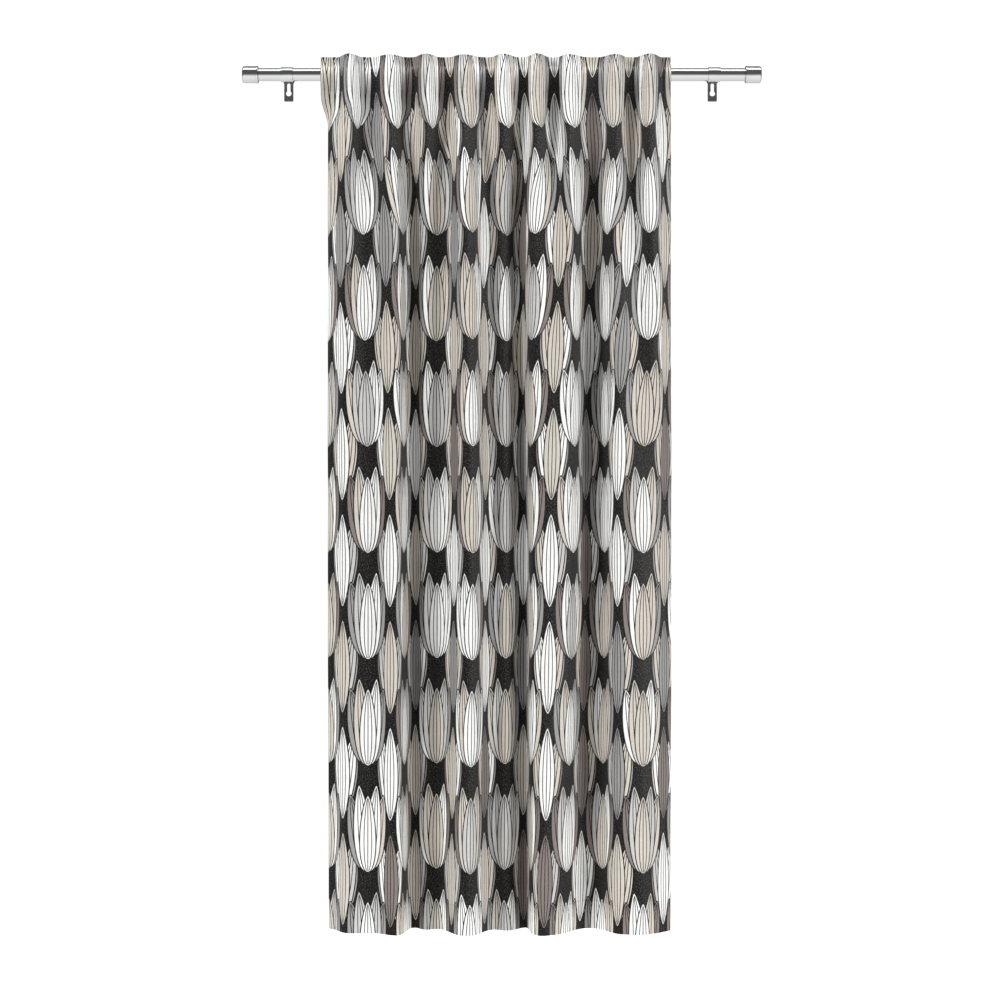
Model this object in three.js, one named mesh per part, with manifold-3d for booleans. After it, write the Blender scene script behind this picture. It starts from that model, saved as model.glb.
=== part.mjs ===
// A curtain panel with a hidden-tab heading, hanging on a steel rod with two wall brackets.
// Millimetres, +Z up. X runs along the rod and the room side of the cloth faces -Y.
// The origin is under the middle of the whole, at the height of the cloth's foot.

import * as THREE from 'three';
import { mergeVertices } from 'three/addons/utils/BufferGeometryUtils.js';
import Module from 'manifold-3d';

const wasm = await Module();
wasm.setup();

// ---------------------------------------------------------------- driving sizes

const CLOTH_WIDTH = 1400;      // finished flat width
const CLOTH_DROP = 2400;       // finished length, top edge to foot
const CLOTH_THICK = 1.4;
const HEM_THICK = 2.4;         // where the cloth is turned over on itself
const SIDE_HEM = 25;
const FOOT_HEM = 80;
const HEADING_FOOT = 2300;     // height down to which the heading is turned over
const HEM_STEP = 2;            // flat width over which a side hem's thickness ends

const GAP = 0.35;              // clearance between pieces that touch
const CLOTH_TO_ROD = 0.8;

const ROD_RADIUS = 17.5;
const ROD_WALL = 1.2;
const ROD_HALF = 698;
const ROD_HEIGHT = 2353;       // height of the rod's axis

const TAB_WIDTH = 30;
const TAB_THICK = 1;
const TAB_PITCH = 149.5;       // flat cloth from one tab's middle to the next
const TAB_MARGIN = 36;         // flat cloth from the left edge to the first tab
const TAB_COUNT = 10;
const TAB_UPPER_SEAM = [43, 35, 27];             // heights above the rod's axis, on the cloth's back
const TAB_LOWER_SEAM = [-47, -57];
const TAB_ARC = [112, 130, 148, 166, 185, 204];  // degrees round the rod, from its front
const TAB_ARC_CLEARANCE = 0.6;                   // the arc's short chords still clear the rod
const TAB_REACHES_ARC = [2.2, 20.6];             // distance behind the rod's axis, height above it
const TAB_LEAVES_ARC = [[9, -22], [-2.5, -38]];

const CAP_RADIUS = 23;
const CAP_LENGTH = 43;
const CAP_END = 714;           // half the overall length of rod and caps
const CAP_ROUND = 5;
const CAP_LIP = 0.5;
const CAP_LIP_LENGTH = 5;
const ROD_SIDES = 64;
const CAP_SIDES = 48;
const STEM_SIDES = 32;

const BRACKET_X = { left: -592, right: 585 };
const RING_WIDTH = 34;
const RING_RADIUS = 20;
const STEM_RADIUS = 7;
const PLATE_FRONT = 53;        // from the rod's axis back to the plate's front face
const PLATE_THICK = 3.5;
const PLATE_TOP = 24;          // above the rod's axis
const PLATE_FOOT = -64;
const PLATE_WIDTH = 25.5;
const PLATE_HEAD_WIDTH = 32;
const PLATE_HEAD_FOOT = -10;   // the wide head ends here and narrows
const PLATE_NECK = -15;
const PLATE_CORNER = 2;
const KEY_SLOT_RADIUS = 4.7;
const KEY_HOLE_RADIUS = 7.6;
const KEY_TOP = -14;           // top of the slot
const KEY_HOLE_CENTRE = -42;

// ---------------------------------------------------------------- the folds

// The cloth's section is a line through these places, from the left edge to the right. Each row is one
// fold: a valley where a tab draws the heading to the rod, or a crest between two tabs. The columns give
// its place along the rod and its distance in front of the rod's axis, at four heights. Nine even folds
// at the heading run together into four broad ones lower down.
//   name      heading x,  upper x, depth,  middle x, depth,  foot x, depth
const FOLDS = [
  ['edge',     -479,       -479,  -10,      -479,   -5,       -476,   -8],
  ['valley',   -462,       -468,   14,      -468,   10,       -465,    2],
  ['crest',    -416,       -421,   72,      -418,   68,       -413,   66],
  ['valley',   -372,       -369,   46,      -358,   60,       -350,   64],
  ['crest',    -306,       -295,   90,      -290,  102,       -287,   98],
  ['valley',   -254,       -248,   -8,      -248,  -14,       -243,  -20],
  ['crest',    -208,       -206,   34,      -208,   24,       -208,   12],
  ['valley',   -159,       -162,   22,      -168,   12,       -176,    2],
  ['crest',    -104,        -96,  112,       -88,  112,        -96,  106],
  ['valley',    -41,        -38,   16,       -27,   14,        -22,   10],
  ['crest',       3,          1,   26,         9,   30,         14,   26],
  ['valley',     55,         46,  -20,        56,  -26,         66,  -22],
  ['crest',      96,         90,   70,        90,   82,         85,   76],
  ['valley',    142,        137,   68,       131,   96,        109,  104],
  ['crest',     183,        181,   96,       172,   92,        150,   84],
  ['valley',    252,        246,   -8,       254,  -20,        241,  -14],
  ['crest',     312,        315,   80,       323,   92,        328,   82],
  ['valley',    356,        361,   56,       369,   90,        377,   92],
  ['crest',     405,        410,   98,       418,   74,        416,   68],
  ['valley',    447,        451,   32,       454,   34,        451,   34],
  ['edge',      465,        464,   14,       465,   18,        462,   20],
];
const FOLD_LEVELS = { foot: 0, middle: 1130, upper: 1900, below: 2260, top: CLOTH_DROP };

// How far the heading leans back from a straight hang, at each height: right over a tab, where the cloth
// comes over the top of the rod, and at a crest between tabs, where it only follows.
//   height above the rod's axis, over a tab, at a crest
const HEADING_LEAN = [
  [47.0, 13.5, 15],
  [35.0, 15.9, 13],
  [26.5, 15.3, 11],
  [20.2, 12.7, 9],
  [16.0, 8.3, 7.5],
  [13.0, 5.0, 6.5],
  [7.3, 1.4, 4.5],
  [0, 0, 2.5],
  [-13, 1.5, 2.5],
  [-28, 6.0, 4],
  [-47, 13.0, 6.5],
  [-62, 15.5, 7.5],
  [-83, 15.0, 7],
  [-133, 8.5, 4],
  [-203, 0, 0],
];

// Heights of the cloth's section lines below the heading. Two lie close together where the foot hem ends.
const LOWER_ROWS = [2040, 1900, 1720, 1520, 1300, 1060, 820, 580, 350, 180, 81, 77, 0];

const LINES_BETWEEN_TABS = 5;  // the cloth's upright lines between the edges of two tabs

const ROUNDNESS = 0.25;        // how far crests and valleys widen and their flanks steepen
const FULL_ROUND_DEPTH = 45;   // a fold at least this deep has its full roundness
const LINE_STEPS = 24;         // points on the section line from one fold to the next
const HEADING_SHARPNESS = 1.6; // valleys at the tabs lie flat, and the crests between them stand narrow
const HEADING_CREST = 50;      // usual height of a crest above the tabs
const DEEPEST_CREST = 160;
const CREST_LEAN_DEPTH = 40;   // cloth this far in front of the tabs leans as a crest does
const LEFT_EDGE_CURL = -10;    // depth of the left edge just below the heading
const LEAST_GAIN = 0.5;        // how much a section's folds may be eased or deepened
const MOST_GAIN = 1.6;
const HALVINGS = 40;           // steps of the search for a length

// ---------------------------------------------------------------- curves

// Slopes at the points of a smooth line that never overshoots them.
function easySlopes(values, places) {
  const rise = values.slice(1).map((v, i) => (v - values[i]) / (places[i + 1] - places[i]));
  return values.map((_, i) => {
    const a = rise[i - 1];
    const b = rise[i];
    if (a === undefined) return b;
    if (b === undefined) return a;
    return a * b <= 0 ? 0 : (2 * a * b) / (a + b);
  });
}

function smoothLine(places, values) {
  const slopes = easySlopes(values, places);
  return (at) => {
    let i = 0;
    while (i < places.length - 2 && at > places[i + 1]) i += 1;
    const step = places[i + 1] - places[i];
    const f = Math.min(1, Math.max(0, (at - places[i]) / step));
    const f2 = f * f;
    const f3 = f2 * f;
    return (2 * f3 - 3 * f2 + 1) * values[i] + (f3 - 2 * f2 + f) * step * slopes[i]
      + (3 * f2 - 2 * f3) * values[i + 1] + (f3 - f2) * step * slopes[i + 1];
  };
}

function straightLine(places, values) {
  return (at) => {
    let i = 0;
    while (i < places.length - 2 && at > places[i + 1]) i += 1;
    const f = Math.min(1, Math.max(0, (at - places[i]) / (places[i + 1] - places[i])));
    return values[i] + f * (values[i + 1] - values[i]);
  };
}

const smoothStep = (low, high, at) => THREE.MathUtils.smoothstep(at, low, high);

// Finds the number between low and high at which a rising measure reaches its aim.
function solve(measure, aim, low, high) {
  let a = low;
  let b = high;
  for (let i = 0; i < HALVINGS; i += 1) {
    const middle = (a + b) / 2;
    if (measure(middle) < aim) a = middle;
    else b = middle;
  }
  return (a + b) / 2;
}

// ---------------------------------------------------------------- the cloth's section line

const CLOTH_BEFORE_ROD = ROD_RADIUS + CLOTH_TO_ROD + HEM_THICK / 2;
const FOLD_COUNT = FOLDS.length;
const STEPS = FOLDS.map((_, i) => i);

// The line through one set of fold places, as points [x, depth].
function sectionLine(xs, depths, heading) {
  const xAt = smoothLine(STEPS, xs);
  const depthAt = smoothLine(STEPS, depths);
  const points = [];
  for (let i = 0; i <= (FOLD_COUNT - 1) * LINE_STEPS; i += 1) {
    const t = i / LINE_STEPS;
    const fold = Math.min(FOLD_COUNT - 2, Math.floor(t));
    const weight = Math.min(1, Math.abs(depths[fold + 1] - depths[fold]) / FULL_ROUND_DEPTH);
    const round = (ROUNDNESS * weight * Math.sin(2 * Math.PI * t)) / (2 * Math.PI);
    const x = xAt(t) + round * (xs[fold + 1] - xs[fold]);
    const depth = depthAt(t);
    const above = Math.max(0, depth - CLOTH_BEFORE_ROD);
    const flat = Math.pow(above / HEADING_CREST, HEADING_SHARPNESS) * HEADING_CREST;
    points.push([x, depth + heading * (flat - above)]);
  }
  return points;
}

function runningLength(points) {
  const sums = [0];
  for (let i = 1; i < points.length; i += 1) {
    const [xa, da] = points[i - 1];
    const [xb, db] = points[i];
    sums.push(sums[i - 1] + Math.hypot(xb - xa, db - da));
  }
  return sums;
}

// At the heading each crest stands out just as far as the cloth between its two tabs needs.
function headingDepths(xs) {
  const depths = FOLDS.map(() => CLOTH_BEFORE_ROD);
  for (let crest = 2; crest < FOLD_COUNT - 2; crest += 2) {
    const lengthWith = (depth) => {
      depths[crest] = depth;
      const sums = runningLength(sectionLine(xs, depths, 1));
      return sums[(crest + 1) * LINE_STEPS] - sums[(crest - 1) * LINE_STEPS];
    };
    depths[crest] = solve(lengthWith, TAB_PITCH, CLOTH_BEFORE_ROD, DEEPEST_CREST);
  }
  depths[0] = LEFT_EDGE_CURL;
  return depths;
}

// Each fold's place and depth as smooth lines over the height.
const HEADING_DEPTHS = headingDepths(FOLDS.map(([, headingX]) => headingX));
const LEVELS = Object.values(FOLD_LEVELS);
const FOLD_LINES = FOLDS.map((row, i) => {
  const [, headingX, upperX, upper, middleX, middle, footX, foot] = row;
  const heading = HEADING_DEPTHS[i];
  return {
    x: smoothLine(LEVELS, [footX, middleX, upperX, headingX, headingX]),
    depth: smoothLine(LEVELS, [foot, middle, upper, heading, heading]),
  };
});

// The left edge lies flat against the rod, and curls back behind the cloth below it.
const FLARE = { out: -19, forward: CLOTH_BEFORE_ROD - LEFT_EDGE_CURL, from: 2215, to: 2292 };

// The section line at one height, with its folds deepened or eased until it holds the full cloth width.
function sectionAt(height) {
  const heading = smoothStep(FOLD_LEVELS.upper, FOLD_LEVELS.below, height);
  const flare = smoothStep(FLARE.from, FLARE.to, height);
  const xs = FOLD_LINES.map((line) => line.x(height));
  const depths = FOLD_LINES.map((line) => line.depth(height));
  xs[0] += flare * FLARE.out;
  depths[0] += flare * FLARE.forward;
  const deepened = (gain) => {
    const scaled = depths.map((d) => CLOTH_BEFORE_ROD + gain * (d - CLOTH_BEFORE_ROD));
    return sectionLine(xs, scaled, heading);
  };
  const gain = solve((g) => runningLength(deepened(g)).at(-1), CLOTH_WIDTH, LEAST_GAIN, MOST_GAIN);
  const points = deepened(gain);
  const sums = runningLength(points);
  const scale = CLOTH_WIDTH / sums.at(-1);
  const flat = sums.map((s) => s * scale);
  const xAt = straightLine(flat, points.map((p) => p[0]));
  const depthAt = straightLine(flat, points.map((p) => p[1]));
  return (u) => [xAt(u), depthAt(u)];
}

const leanHeights = HEADING_LEAN.map((row) => ROD_HEIGHT + row[0]).reverse();
const leanAtTab = straightLine(leanHeights, HEADING_LEAN.map((row) => row[1]).reverse());
const leanAtCrest = straightLine(leanHeights, HEADING_LEAN.map((row) => row[2]).reverse());

// The cloth's middle surface: a point for a flat place u and a height.
function clothSurface(height) {
  const section = sectionAt(height);
  return (u) => {
    const [x, depth] = section(u);
    const crest = smoothStep(CLOTH_BEFORE_ROD, CLOTH_BEFORE_ROD + CREST_LEAN_DEPTH, depth);
    const lean = THREE.MathUtils.lerp(leanAtTab(height), leanAtCrest(height), crest);
    return new THREE.Vector3(x, lean - depth, height);
  };
}

// ---------------------------------------------------------------- the panel

// Flat places of the cloth's upright lines: at each tab's middle and edges, between the tabs, at the hems.
function clothColumns() {
  const columns = [0, SIDE_HEM, SIDE_HEM + HEM_STEP];
  columns.push(CLOTH_WIDTH - SIDE_HEM - HEM_STEP, CLOTH_WIDTH - SIDE_HEM, CLOTH_WIDTH);
  const half = TAB_WIDTH / 2;
  const step = (TAB_PITCH - TAB_WIDTH) / (LINES_BETWEEN_TABS + 1);
  for (let tab = 0; tab < TAB_COUNT; tab += 1) {
    const centre = TAB_MARGIN + tab * TAB_PITCH;
    columns.push(centre - half, centre, centre + half);
    for (let line = 1; line <= LINES_BETWEEN_TABS && tab < TAB_COUNT - 1; line += 1) {
      columns.push(centre + half + line * step);
    }
  }
  return columns.sort((a, b) => a - b);
}

function clothRows() {
  const heading = HEADING_LEAN.map((row) => ROD_HEIGHT + row[0]);
  return [...heading, ...LOWER_ROWS];
}

function thicknessAt(u, height) {
  const side = u <= SIDE_HEM || u >= CLOTH_WIDTH - SIDE_HEM;
  const doubled = side || height < FOOT_HEM || height > HEADING_FOOT;
  return doubled ? HEM_THICK : CLOTH_THICK;
}

// Two skins half a thickness either side of the middle surface, joined round the edge.
function sheetGeometry(columns, rows) {
  const middle = rows.map((height) => {
    const at = clothSurface(height);
    return columns.map(at);
  });
  const near = (list, i) => [list[Math.max(0, i - 1)], list[Math.min(list.length - 1, i + 1)]];
  const positions = [];
  [1, -1].forEach((side) => {
    rows.forEach((height, r) => {
      columns.forEach((u, c) => {
        const [left, right] = near(middle[r], c);
        const [up, down] = near(middle, r).map((row) => row[c]);
        const along = right.clone().sub(left);
        const upward = up.clone().sub(down);
        const normal = along.cross(upward).normalize();
        const offset = (side * thicknessAt(u, height)) / 2;
        positions.push(...middle[r][c].clone().addScaledVector(normal, offset).toArray());
      });
    });
  });
  const wide = columns.length;
  const skin = wide * rows.length;
  const faces = [];
  const quad = (a, b, c, d) => faces.push(a, b, c, a, c, d);
  for (let r = 0; r < rows.length - 1; r += 1) {
    for (let c = 0; c < wide - 1; c += 1) {
      const i = r * wide + c;
      quad(i, i + wide, i + wide + 1, i + 1);
      quad(skin + i, skin + i + 1, skin + i + wide + 1, skin + i + wide);
    }
  }
  const last = (rows.length - 1) * wide;
  for (let c = 0; c < wide - 1; c += 1) {
    quad(c, c + 1, skin + c + 1, skin + c);
    quad(last + c, skin + last + c, skin + last + c + 1, last + c + 1);
  }
  for (let r = 0; r < rows.length - 1; r += 1) {
    const a = r * wide;
    const b = a + wide - 1;
    quad(a, skin + a, skin + a + wide, a + wide);
    quad(b, b + wide, skin + b + wide, skin + b);
  }
  const geometry = new THREE.BufferGeometry();
  geometry.setAttribute('position', new THREE.Float32BufferAttribute(positions, 3));
  geometry.setIndex(faces);
  geometry.computeVertexNormals();
  return geometry;
}

// ---------------------------------------------------------------- the hidden tabs

// A tab's middle line in its own upright plane, from its upper seam on the cloth's back, over the rod
// and behind it, to its lower seam. Points are [distance behind the rod's axis, height above it].
function tabLine() {
  const behindCloth = (height) => {
    const back = leanAtTab(ROD_HEIGHT + height) - CLOTH_BEFORE_ROD + HEM_THICK / 2;
    return [back + GAP + TAB_THICK / 2, height];
  };
  const radius = ROD_RADIUS + TAB_ARC_CLEARANCE + TAB_THICK / 2;
  const round = TAB_ARC.map((degrees) => {
    const angle = THREE.MathUtils.degToRad(degrees);
    return [-radius * Math.cos(angle), radius * Math.sin(angle)];
  });
  const upperSeam = TAB_UPPER_SEAM.map(behindCloth);
  const lowerSeam = TAB_LOWER_SEAM.map(behindCloth);
  return [...upperSeam, TAB_REACHES_ARC, ...round, ...TAB_LEAVES_ARC, ...lowerSeam];
}

// The strip's outline is its middle line, moved half a thickness to each side.
function tabGeometry() {
  const line = tabLine().map(([y, z]) => new THREE.Vector2(y, z));
  const sideways = line.map((_, i) => {
    const before = line[Math.max(0, i - 1)];
    const after = line[Math.min(line.length - 1, i + 1)];
    const along = after.clone().sub(before).normalize();
    return new THREE.Vector2(-along.y, along.x).multiplyScalar(TAB_THICK / 2);
  });
  const one = line.map((p, i) => p.clone().add(sideways[i]));
  const other = line.map((p, i) => p.clone().sub(sideways[i])).reverse();
  const shape = new THREE.Shape([...one, ...other]);
  const geometry = new THREE.ExtrudeGeometry(shape, { depth: TAB_WIDTH, bevelEnabled: false });
  geometry.translate(0, 0, -TAB_WIDTH / 2);
  return alongX(geometry);
}

// Turns a shape drawn as (y, z) and extruded along the third axis, so that it is extruded along X.
function alongX(geometry) {
  const turn = new THREE.Matrix4().set(
    0, 0, 1, 0,
    1, 0, 0, 0,
    0, 1, 0, 0,
    0, 0, 0, 1,
  );
  return geometry.applyMatrix4(turn);
}

// ---------------------------------------------------------------- rod, caps and brackets

// Spins a closed outline of [distance along X, radius] points round the X axis.
function turned(outline, segments) {
  const closed = [...outline, outline[0]];
  const profile = closed.map(([along, radius]) => new THREE.Vector2(radius, along));
  const geometry = new THREE.LatheGeometry(profile, segments);
  return geometry.rotateZ(-Math.PI / 2);
}

function rodGeometry() {
  const inner = ROD_RADIUS - ROD_WALL;
  const outline = [
    [-ROD_HALF, inner],
    [-ROD_HALF, ROD_RADIUS],
    [ROD_HALF, ROD_RADIUS],
    [ROD_HALF, inner],
  ];
  return turned(outline, ROD_SIDES);
}

// A cap closes the rod's end. Its mouth faces -X, for the right end of the rod.
function capGeometry() {
  const mouth = CAP_END - CAP_LENGTH;
  const socketFloor = ROD_HALF + GAP;
  const socketRadius = ROD_RADIUS + GAP;
  const lip = mouth + CAP_LIP_LENGTH;
  const corner = [30, 60].map((degrees) => {
    const angle = THREE.MathUtils.degToRad(degrees);
    return [
      CAP_END - CAP_ROUND * (1 - Math.sin(angle)),
      CAP_RADIUS - CAP_ROUND * (1 - Math.cos(angle)),
    ];
  });
  const profile = [
    [socketFloor, 0],
    [socketFloor, socketRadius],
    [mouth, socketRadius],
    [mouth, CAP_RADIUS + CAP_LIP],
    [lip, CAP_RADIUS + CAP_LIP],
    [lip, CAP_RADIUS],
    [CAP_END - CAP_ROUND, CAP_RADIUS],
    ...corner,
    [CAP_END, CAP_RADIUS - CAP_ROUND],
    [CAP_END, 0],
  ];
  const points = profile.map(([along, radius]) => new THREE.Vector2(radius, along));
  return new THREE.LatheGeometry(points, CAP_SIDES).rotateZ(-Math.PI / 2);
}

function toSolid(geometry) {
  const bare = geometry.clone();
  bare.deleteAttribute('normal');
  bare.deleteAttribute('uv');
  const merged = mergeVertices(bare, 1e-4);
  const vertProperties = new Float32Array(merged.attributes.position.array);
  const triVerts = new Uint32Array(merged.index.array);
  return new wasm.Manifold(new wasm.Mesh({ numProp: 3, vertProperties, triVerts }));
}

function fromSolid(solid) {
  const mesh = solid.getMesh();
  const geometry = new THREE.BufferGeometry();
  geometry.setAttribute('position', new THREE.BufferAttribute(mesh.vertProperties, 3));
  geometry.setIndex(new THREE.BufferAttribute(mesh.triVerts, 1));
  geometry.computeVertexNormals();
  return geometry;
}

// The bright ring round the rod, with the stem that runs back from it to the wall plate.
function saddleGeometry() {
  const half = RING_WIDTH / 2;
  const bore = ROD_RADIUS + GAP;
  const outline = [
    [-half, bore],
    [-half, RING_RADIUS],
    [half, RING_RADIUS],
    [half, bore],
  ];
  const ring = turned(outline, ROD_SIDES);
  const start = (bore + RING_RADIUS) / 2;
  const end = PLATE_FRONT - GAP;
  const stem = new THREE.CylinderGeometry(STEM_RADIUS, STEM_RADIUS, end, STEM_SIDES);
  stem.translate(0, end / 2, 0);
  const core = new THREE.CylinderGeometry(start, start, RING_WIDTH, ROD_SIDES).rotateZ(Math.PI / 2);
  return fromSolid(toSolid(stem).subtract(toSolid(core)).add(toSolid(ring)));
}

// The plate's outline and keyhole are drawn as (x, z) about the rod's axis, and its back is the wall face.
function plateGeometry() {
  const round = PLATE_CORNER;
  const wide = PLATE_HEAD_WIDTH / 2;
  const narrow = PLATE_WIDTH / 2;
  const outline = new THREE.Shape();
  outline.moveTo(-narrow + round, PLATE_FOOT);
  outline.lineTo(narrow - round, PLATE_FOOT);
  outline.absarc(narrow - round, PLATE_FOOT + round, round, -Math.PI / 2, 0, false);
  outline.lineTo(narrow, PLATE_NECK);
  outline.lineTo(wide, PLATE_HEAD_FOOT);
  outline.absarc(wide - round, PLATE_TOP - round, round, 0, Math.PI / 2, false);
  outline.absarc(-wide + round, PLATE_TOP - round, round, Math.PI / 2, Math.PI, false);
  outline.lineTo(-wide, PLATE_HEAD_FOOT);
  outline.lineTo(-narrow, PLATE_NECK);
  outline.absarc(-narrow + round, PLATE_FOOT + round, round, Math.PI, Math.PI * 1.5, false);
  const open = Math.asin(KEY_SLOT_RADIUS / KEY_HOLE_RADIUS);
  const keyhole = new THREE.Path();
  keyhole.absarc(0, KEY_TOP - KEY_SLOT_RADIUS, KEY_SLOT_RADIUS, 0, Math.PI, false);
  keyhole.absarc(0, KEY_HOLE_CENTRE, KEY_HOLE_RADIUS, Math.PI / 2 + open, Math.PI * 2.5 - open, false);
  outline.holes.push(keyhole);
  const geometry = new THREE.ExtrudeGeometry(outline, {
    depth: PLATE_THICK,
    bevelEnabled: false,
    curveSegments: 10,
  });
  geometry.rotateX(Math.PI / 2);
  return geometry.translate(0, PLATE_FRONT + PLATE_THICK, 0);
}

// ---------------------------------------------------------------- materials and assembly

function material(color, roughness, metalness) {
  return new THREE.MeshStandardMaterial({ color, roughness, metalness });
}

const whole = new THREE.Group();

function addPiece(name, geometry, finish) {
  const mesh = new THREE.Mesh(geometry, finish);
  mesh.name = name;
  whole.add(mesh);
  return mesh;
}

const steel = () => material('#c4c6c8', 0.25, 1);
const darkZinc = () => material('#4b4b4d', 0.5, 0.8);
const printedCloth = () => material('#8f8880', 0.9, 0);
const plainCloth = () => material('#262425', 0.9, 0);

addPiece('curtain_panel', sheetGeometry(clothColumns(), clothRows()), printedCloth());

const tabPlane = clothSurface(ROD_HEIGHT);
for (let tab = 0; tab < TAB_COUNT; tab += 1) {
  const name = `tab_${String(tab + 1).padStart(2, '0')}`;
  const piece = addPiece(name, tabGeometry(), plainCloth());
  piece.position.set(tabPlane(TAB_MARGIN + tab * TAB_PITCH).x, 0, ROD_HEIGHT);
}

addPiece('rod', rodGeometry(), steel()).position.z = ROD_HEIGHT;

[['left', -1], ['right', 1]].forEach(([side, sign]) => {
  const cap = addPiece(`end_cap_${side}`, capGeometry(), steel());
  cap.position.z = ROD_HEIGHT;
  cap.rotation.z = sign < 0 ? Math.PI : 0;
  const saddle = addPiece(`saddle_${side}`, saddleGeometry(), steel());
  saddle.position.set(BRACKET_X[side], 0, ROD_HEIGHT);
  const plate = addPiece(`wall_plate_${side}`, plateGeometry(), darkZinc());
  plate.position.set(BRACKET_X[side], 0, ROD_HEIGHT);
});

// Everything above is built about the rod's axis. The frame's origin is under the middle of the whole.
const bounds = new THREE.Box3().setFromObject(whole);
const middle = bounds.getCenter(new THREE.Vector3());
whole.position.set(-middle.x, -middle.y, -bounds.min.z);

export default whole;
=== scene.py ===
import math

import bpy
import numpy as np
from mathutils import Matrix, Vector


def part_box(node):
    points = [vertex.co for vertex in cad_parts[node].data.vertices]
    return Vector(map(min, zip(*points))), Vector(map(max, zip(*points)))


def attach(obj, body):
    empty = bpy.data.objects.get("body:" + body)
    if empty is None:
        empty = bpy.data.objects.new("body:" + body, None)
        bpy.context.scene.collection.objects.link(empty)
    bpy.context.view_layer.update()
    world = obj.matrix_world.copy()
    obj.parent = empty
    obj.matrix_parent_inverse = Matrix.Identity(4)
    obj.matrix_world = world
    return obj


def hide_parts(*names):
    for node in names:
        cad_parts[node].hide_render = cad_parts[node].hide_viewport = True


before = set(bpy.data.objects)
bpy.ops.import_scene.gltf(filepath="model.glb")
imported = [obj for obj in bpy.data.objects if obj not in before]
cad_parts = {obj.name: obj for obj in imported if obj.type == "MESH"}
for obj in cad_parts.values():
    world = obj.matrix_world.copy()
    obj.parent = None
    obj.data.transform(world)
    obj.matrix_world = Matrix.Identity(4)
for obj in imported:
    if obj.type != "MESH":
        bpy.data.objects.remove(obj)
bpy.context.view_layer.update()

# The looks of a printed curtain panel with a hidden-tab heading, on a steel rod with two wall brackets.
# Metres, +Z up, +X along the rod, and the room side of the cloth faces -Y. The cloth's own tables are in
# millimetres, about the rod's axis and the cloth's foot, and MM turns them into metres.
MM = 0.001

rod_low, rod_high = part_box("rod")
ROD_Y = (rod_low.y + rod_high.y) / 2
ROD_Z = (rod_low.z + rod_high.z) / 2
ROD_RADIUS = (rod_high.z - rod_low.z) / 2 / MM

# ---------------------------------------------------------------- the cloth's sizes, in millimetres

CLOTH_WIDTH = 1400
CLOTH_DROP = 2400
ROD_HEIGHT = 2353              # the rod's axis above the cloth's foot
CLOTH_HALF = 0.7               # half the cloth's thickness
HEM_BACK = 0.75                # how far its turned-over layer stands out behind
SIDE_HEM = 25
FOOT_HEM = 80
HEADING_FOOT = 2300
STITCH_INSET = 2.2             # a hem's stitch line lies this far inside its turned edge
STITCH_HALF_WIDTH = 1.1
STITCH_DIP = 0.05              # how far it draws the cloth in
HEM_STEP_IN, HEM_STEP_OUT = 0.4, 0.6       # a hem's step starts and ends this far from its turned edge

TAB_WIDTH = 30
TAB_HALF = 0.5                 # half a tab's thickness
TAB_PITCH = 149.5
TAB_MARGIN = 36
TAB_COUNT = 10

CLOTH_BEFORE_ROD = 19.5        # from the rod's axis forward to the cloth's middle
ROUNDNESS = 0.25               # how far a fold's bends swell past a plain smooth line
FULL_ROUND_DEPTH = 45          # a fold as deep as this has all of its roundness
LINE_STEPS = 24                # points of the cloth's line from one fold place to the next
HEADING_SHARPNESS = 1.6        # how much narrower the heading's crests are than the folds below
HEADING_CREST = 50             # a crest of this depth keeps it as it narrows
DEEPEST_CREST = 160
CREST_LEAN_DEPTH = 40          # cloth this far in front of the tabs leans as a crest does
LEFT_EDGE_CURL = -10           # the left edge curls back to this depth at the heading
LEAST_GAIN, MOST_GAIN, HALVINGS = 0.5, 1.6, 30     # the search for how deep the folds are

# One row a fold, from the left edge to the right: its place along the rod and its distance in front of
# the rod's axis, at four heights.
#    name      heading x,  upper x, depth,  middle x, depth,  foot x, depth
FOLDS = [
    ("edge",     -479,       -479,  -10,      -479,   -5,       -476,   -8),
    ("valley",   -462,       -468,   14,      -468,   10,       -465,    2),
    ("crest",    -416,       -421,   72,      -418,   68,       -413,   66),
    ("valley",   -372,       -369,   46,      -358,   60,       -350,   64),
    ("crest",    -306,       -295,   90,      -290,  102,       -287,   98),
    ("valley",   -254,       -248,   -8,      -248,  -14,       -243,  -20),
    ("crest",    -208,       -206,   34,      -208,   24,       -208,   12),
    ("valley",   -159,       -162,   22,      -168,   12,       -176,    2),
    ("crest",    -104,        -96,  112,       -88,  112,        -96,  106),
    ("valley",    -41,        -38,   16,       -27,   14,        -22,   10),
    ("crest",       3,          1,   26,         9,   30,         14,   26),
    ("valley",     55,         46,  -20,        56,  -26,         66,  -22),
    ("crest",      96,         90,   70,        90,   82,         85,   76),
    ("valley",    142,        137,   68,       131,   96,        109,  104),
    ("crest",     183,        181,   96,       172,   92,        150,   84),
    ("valley",    252,        246,   -8,       254,  -20,        241,  -14),
    ("crest",     312,        315,   80,       323,   92,        328,   82),
    ("valley",    356,        361,   56,       369,   90,        377,   92),
    ("crest",     405,        410,   98,       418,   74,        416,   68),
    ("valley",    447,        451,   32,       454,   34,        451,   34),
    ("edge",      465,        464,   14,       465,   18,        462,   20),
]
HEADING_FROM, HEADING_TO = 1900, 2260      # the heights between which the folds become the heading's
# The foot, the middle, the upper part, just below the heading, and the top.
LEVELS = np.array([0, 1130, HEADING_FROM, HEADING_TO, CLOTH_DROP], float)

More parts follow.
